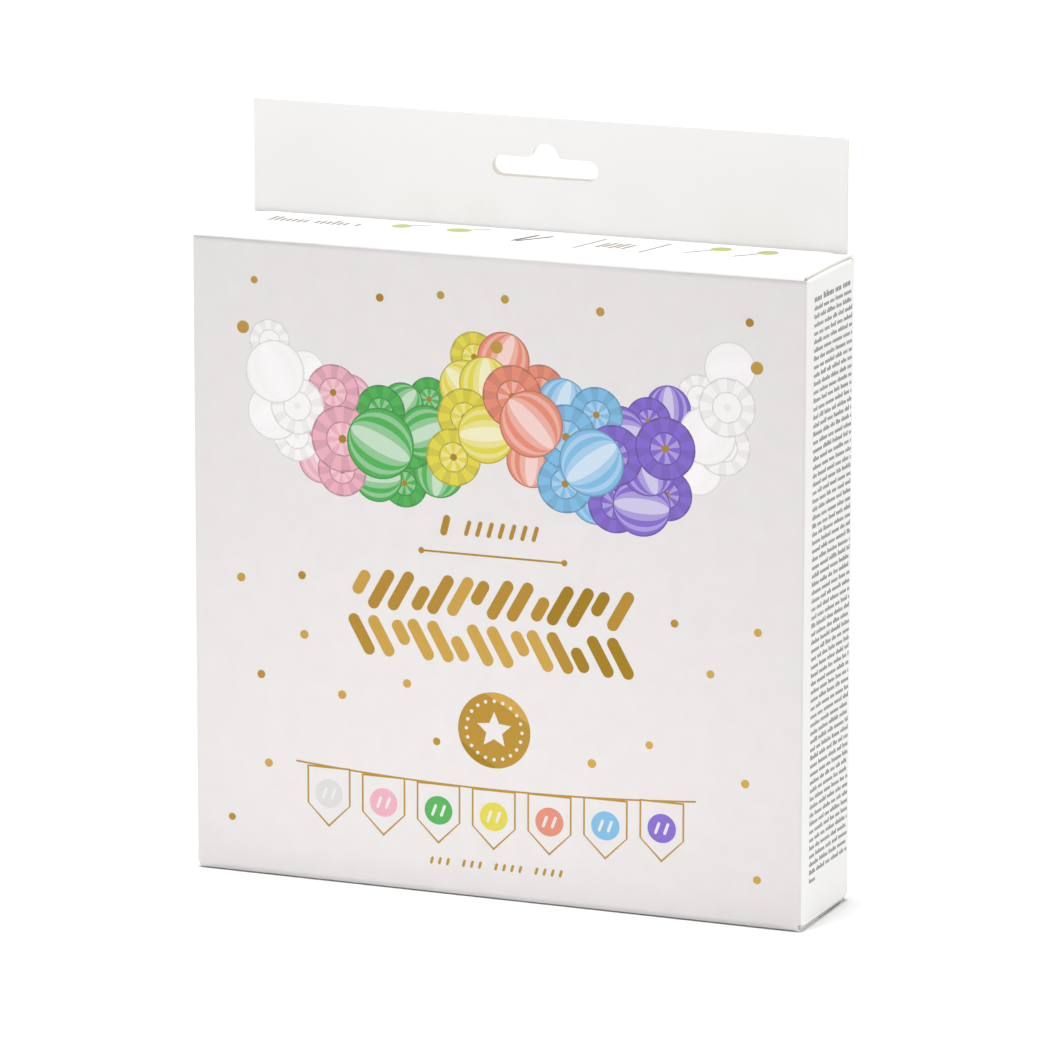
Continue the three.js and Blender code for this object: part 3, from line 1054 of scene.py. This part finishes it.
def shell_grid():
    columns = stations(0, wrap.start, SHELL_STEP, wrap.creases())

    def between(low, high):
        return [s for s in columns if low + GAP < s < high - GAP]

    points = [(s, v) for s in columns for v in stations(BASE_CREASE, HEADER_TOP, SHELL_STEP)]
    start, length = wrap.creases()[0]
    corner_rows = stations(BASE_CREASE + CORNER_MARGIN, CORNER_TOP - CORNER_MARGIN, CORNER_STEP)
    points += [(start + length * i / ARC_STEPS, v) for i in range(ARC_STEPS + 1)
               for v in corner_rows]
    base_rows = stations(front_section.measure(2, (BASE_ROWS_FROM, 0)),
                         front_section.measure(2, (CLOSURE_REAR - FRONT - CREASE, 0)),
                         BASE_STEP)
    rows = crease_rows(front_section) + [WALL_TOP - v for v in base_rows[1:-1]]
    points += [(s, v) for s in between(front(FLAT), front(-FLAT)) for v in rows]
    for wall in (right_side, left_side):
        low, high = sorted((wall(CREASE_FRONT), wall(CREASE_REAR)))
        points += [(s, v) for s in between(low, high) for v in crease_rows(side_section)]
    return points


def build_shell():
    slot_bottom = HEADER_TOP - SLOT_DROP - SLOT_RISE - SLOT_END
    holes = [
        [(inner_rear(x), z) for x, z in slot_outline(-PLY_SHIFT, slot_bottom - PLY_DROP)],
        [(outer_rear(x), z) for x, z in slot_outline(PLY_SHIFT, slot_bottom + PLY_DROP)],
    ]
    outline = densify(shell_outline(), stations(0, wrap.start, SHELL_STEP, wrap.creases()),
                      crease_rows(front_section) + crease_rows(side_section))
    prints = front_print() + side_print() + left_print() + rear_print()
    return folded("carton_shell", outline, holes, prints, [("coated", header_outline(inner_rear))],
                  place_wall, shell_grid(), "carton", ["carton_body"])


def build_lid():
    half, end = lid_high.x, LID_END
    step = CREASE * LID_STEP_AT
    outline = [(-ROLL_HALF, 0.0), (ROLL_HALF, 0.0), (ROLL_HALF, step), (half, step),
               (half, end), (-half, end), (-half, step), (-ROLL_HALF, step)]
    columns = stations(-half + GRID_MARGIN, half - GRID_MARGIN, LID_STEPS[0])
    rows = stations(END_MARGIN, end - END_MARGIN, LID_STEPS[1], lid_section.creases())
    outline = densify(outline, columns, rows)
    grid = [(x, v) for x in columns for v in rows]
    hinge = Vector((0, FRONT, WALL_TOP)) * MM
    panel = Vector((0, CREASE_FRONT, LID_TOP)) * MM
    return folded("lid_panel", outline, [], lid_print(), [], place_lid, grid,
                  ("carton", "lid", hinge, panel), ["lid"])


def build_tuck():
    half, end = lid_high.x, tuck_section.start
    step = CREASE * TUCK_STEP_AT
    outline = [(-half, 0.0), (half, 0.0), (half, step), (TUCK_HALF, step)]
    outline += arc(TUCK_HALF - TUCK_CORNER, end - TUCK_CORNER, TUCK_CORNER, 0, 90, 8)
    outline += arc(-TUCK_HALF + TUCK_CORNER, end - TUCK_CORNER, TUCK_CORNER, 90, 180, 8)
    outline += [(-TUCK_HALF, step), (-half, step)]
    columns = stations(-half + GRID_MARGIN, half - GRID_MARGIN, TUCK_STEPS[0])
    rows = stations(END_MARGIN, end - GRID_MARGIN, TUCK_STEPS[1], tuck_section.creases())
    outline = densify(outline, columns, rows)
    grid = [(x, v) for x in columns for v in rows]
    panel = Vector((0, CREASE_REAR, LID_TOP)) * MM
    return folded("tuck_panel", outline, [], [], [], place_tuck, grid,
                  ("lid", "tuck_flap", panel, tuck_hinge * MM), ["tuck_flap"])


def build_dust(sign, side):
    step = HALF_WIDTH - TUCK_HALF - GAP + CREASE * QUARTER_TURN - CREASE
    low, high, end = CREASE_FRONT, CREASE_REAR, dust_section.start
    outline = [(low, 0.0), (high, 0.0), (high, step), (high - DUST_CORNER, step)]
    outline += arc(high - DUST_TAPER_REAR - DUST_CORNER, end - DUST_CORNER, DUST_CORNER,
                   0, 90, 5)
    outline += arc(low + DUST_TAPER_FRONT + DUST_CORNER, end - DUST_CORNER, DUST_CORNER,
                   90, 180, 5)
    outline += [(low, step)]
    columns = stations(low + GRID_MARGIN, high - GRID_MARGIN, DUST_STEPS[0])
    rows = stations(END_MARGIN, end - GRID_MARGIN, DUST_STEPS[1], dust_section.creases())
    outline = densify(outline, columns, rows)
    grid = [(y, v) for y in columns for v in rows]
    hinge = Vector((sign * HALF_WIDTH, 0, SIDE_TOP)) * MM
    flap = Vector((sign * FLAT, 0, DUST_TOP)) * MM
    node = "dust_flap_" + side
    return folded("dust_panel_" + side, outline, [], [], [], place_dust(sign), grid,
                  ("carton", node, hinge, flap), [node])


# Studio
def build_studio():
    mesh = bpy.data.meshes.new("floor")
    corners = ((-1, -1), (1, -1), (1, 1), (-1, 1))
    mesh.from_pydata([(FLOOR_SIZE * x, FLOOR_SIZE * y, FLOOR_DROP) for x, y in corners],
                     [], [(0, 1, 2, 3)])
    paper = bpy.data.materials.new("floor_paper")
    paper.use_nodes = True
    shader = paper.node_tree.nodes["Principled BSDF"]
    shader.inputs["Base Color"].default_value = (FLOOR_SHADE, FLOOR_SHADE, FLOOR_SHADE, 1)
    shader.inputs["Roughness"].default_value = FLOOR_ROUGHNESS
    mesh.materials.append(paper)
    floor = bpy.data.objects.new("floor", mesh)
    bpy.context.scene.collection.objects.link(floor)
    world = bpy.data.worlds.new("studio")
    world.use_nodes = True
    background = world.node_tree.nodes["Background"]
    background.inputs["Color"].default_value = (1.0, 1.0, 1.0, 1)
    background.inputs["Strength"].default_value = WORLD_STRENGTH
    bpy.context.scene.world = world
    key = bpy.data.lights.new("key", "AREA")
    key.shape = "SQUARE"
    key.size = KEY_SIZE
    key.energy = KEY_POWER
    overhead = bpy.data.lights.new("overhead", "SUN")
    overhead.energy = OVERHEAD_STRENGTH
    overhead.angle = OVERHEAD_ANGLE
    table = bpy.data.lights.new("table", "SPOT")
    table.energy = TABLE_POWER
    table.spot_size = TABLE_ANGLE
    table.spot_blend = TABLE_BLEND
    table.shadow_soft_size = TABLE_RADIUS
    for light, at, aim in ((key, KEY_AT, KEY_AIM), (overhead, (0, 0, 2), (0, 0, 0)),
                           (table, TABLE_AT, (TABLE_AT[0], TABLE_AT[1], 0))):
        lamp = bpy.data.objects.new(light.name, light)
        lamp.location = at
        lamp.rotation_euler = (Vector(aim) - Vector(at)).to_track_quat("-Z", "Y").to_euler()
        bpy.context.scene.collection.objects.link(lamp)
    bpy.context.scene.view_settings.view_transform = "Standard"


def build_camera():
    data = bpy.data.cameras.new("camera")
    data.lens = CAMERA_LENS
    data.sensor_width = SENSOR_WIDTH
    data.clip_end = CLIP_END
    camera = bpy.data.objects.new("camera", data)
    camera.location = CAMERA_AT * MM
    aim = (CAMERA_AIM - CAMERA_AT).to_track_quat("-Z", "Y").to_matrix()
    camera.rotation_euler = (aim @ Matrix.Rotation(CAMERA_ROLL, 3, "Z")).to_euler()
    bpy.context.scene.collection.objects.link(camera)
    bpy.context.scene.camera = camera


build_camera()
build_studio()
build_shell()
build_lid()
build_tuck()
build_dust(-1, "left")
build_dust(1, "right")
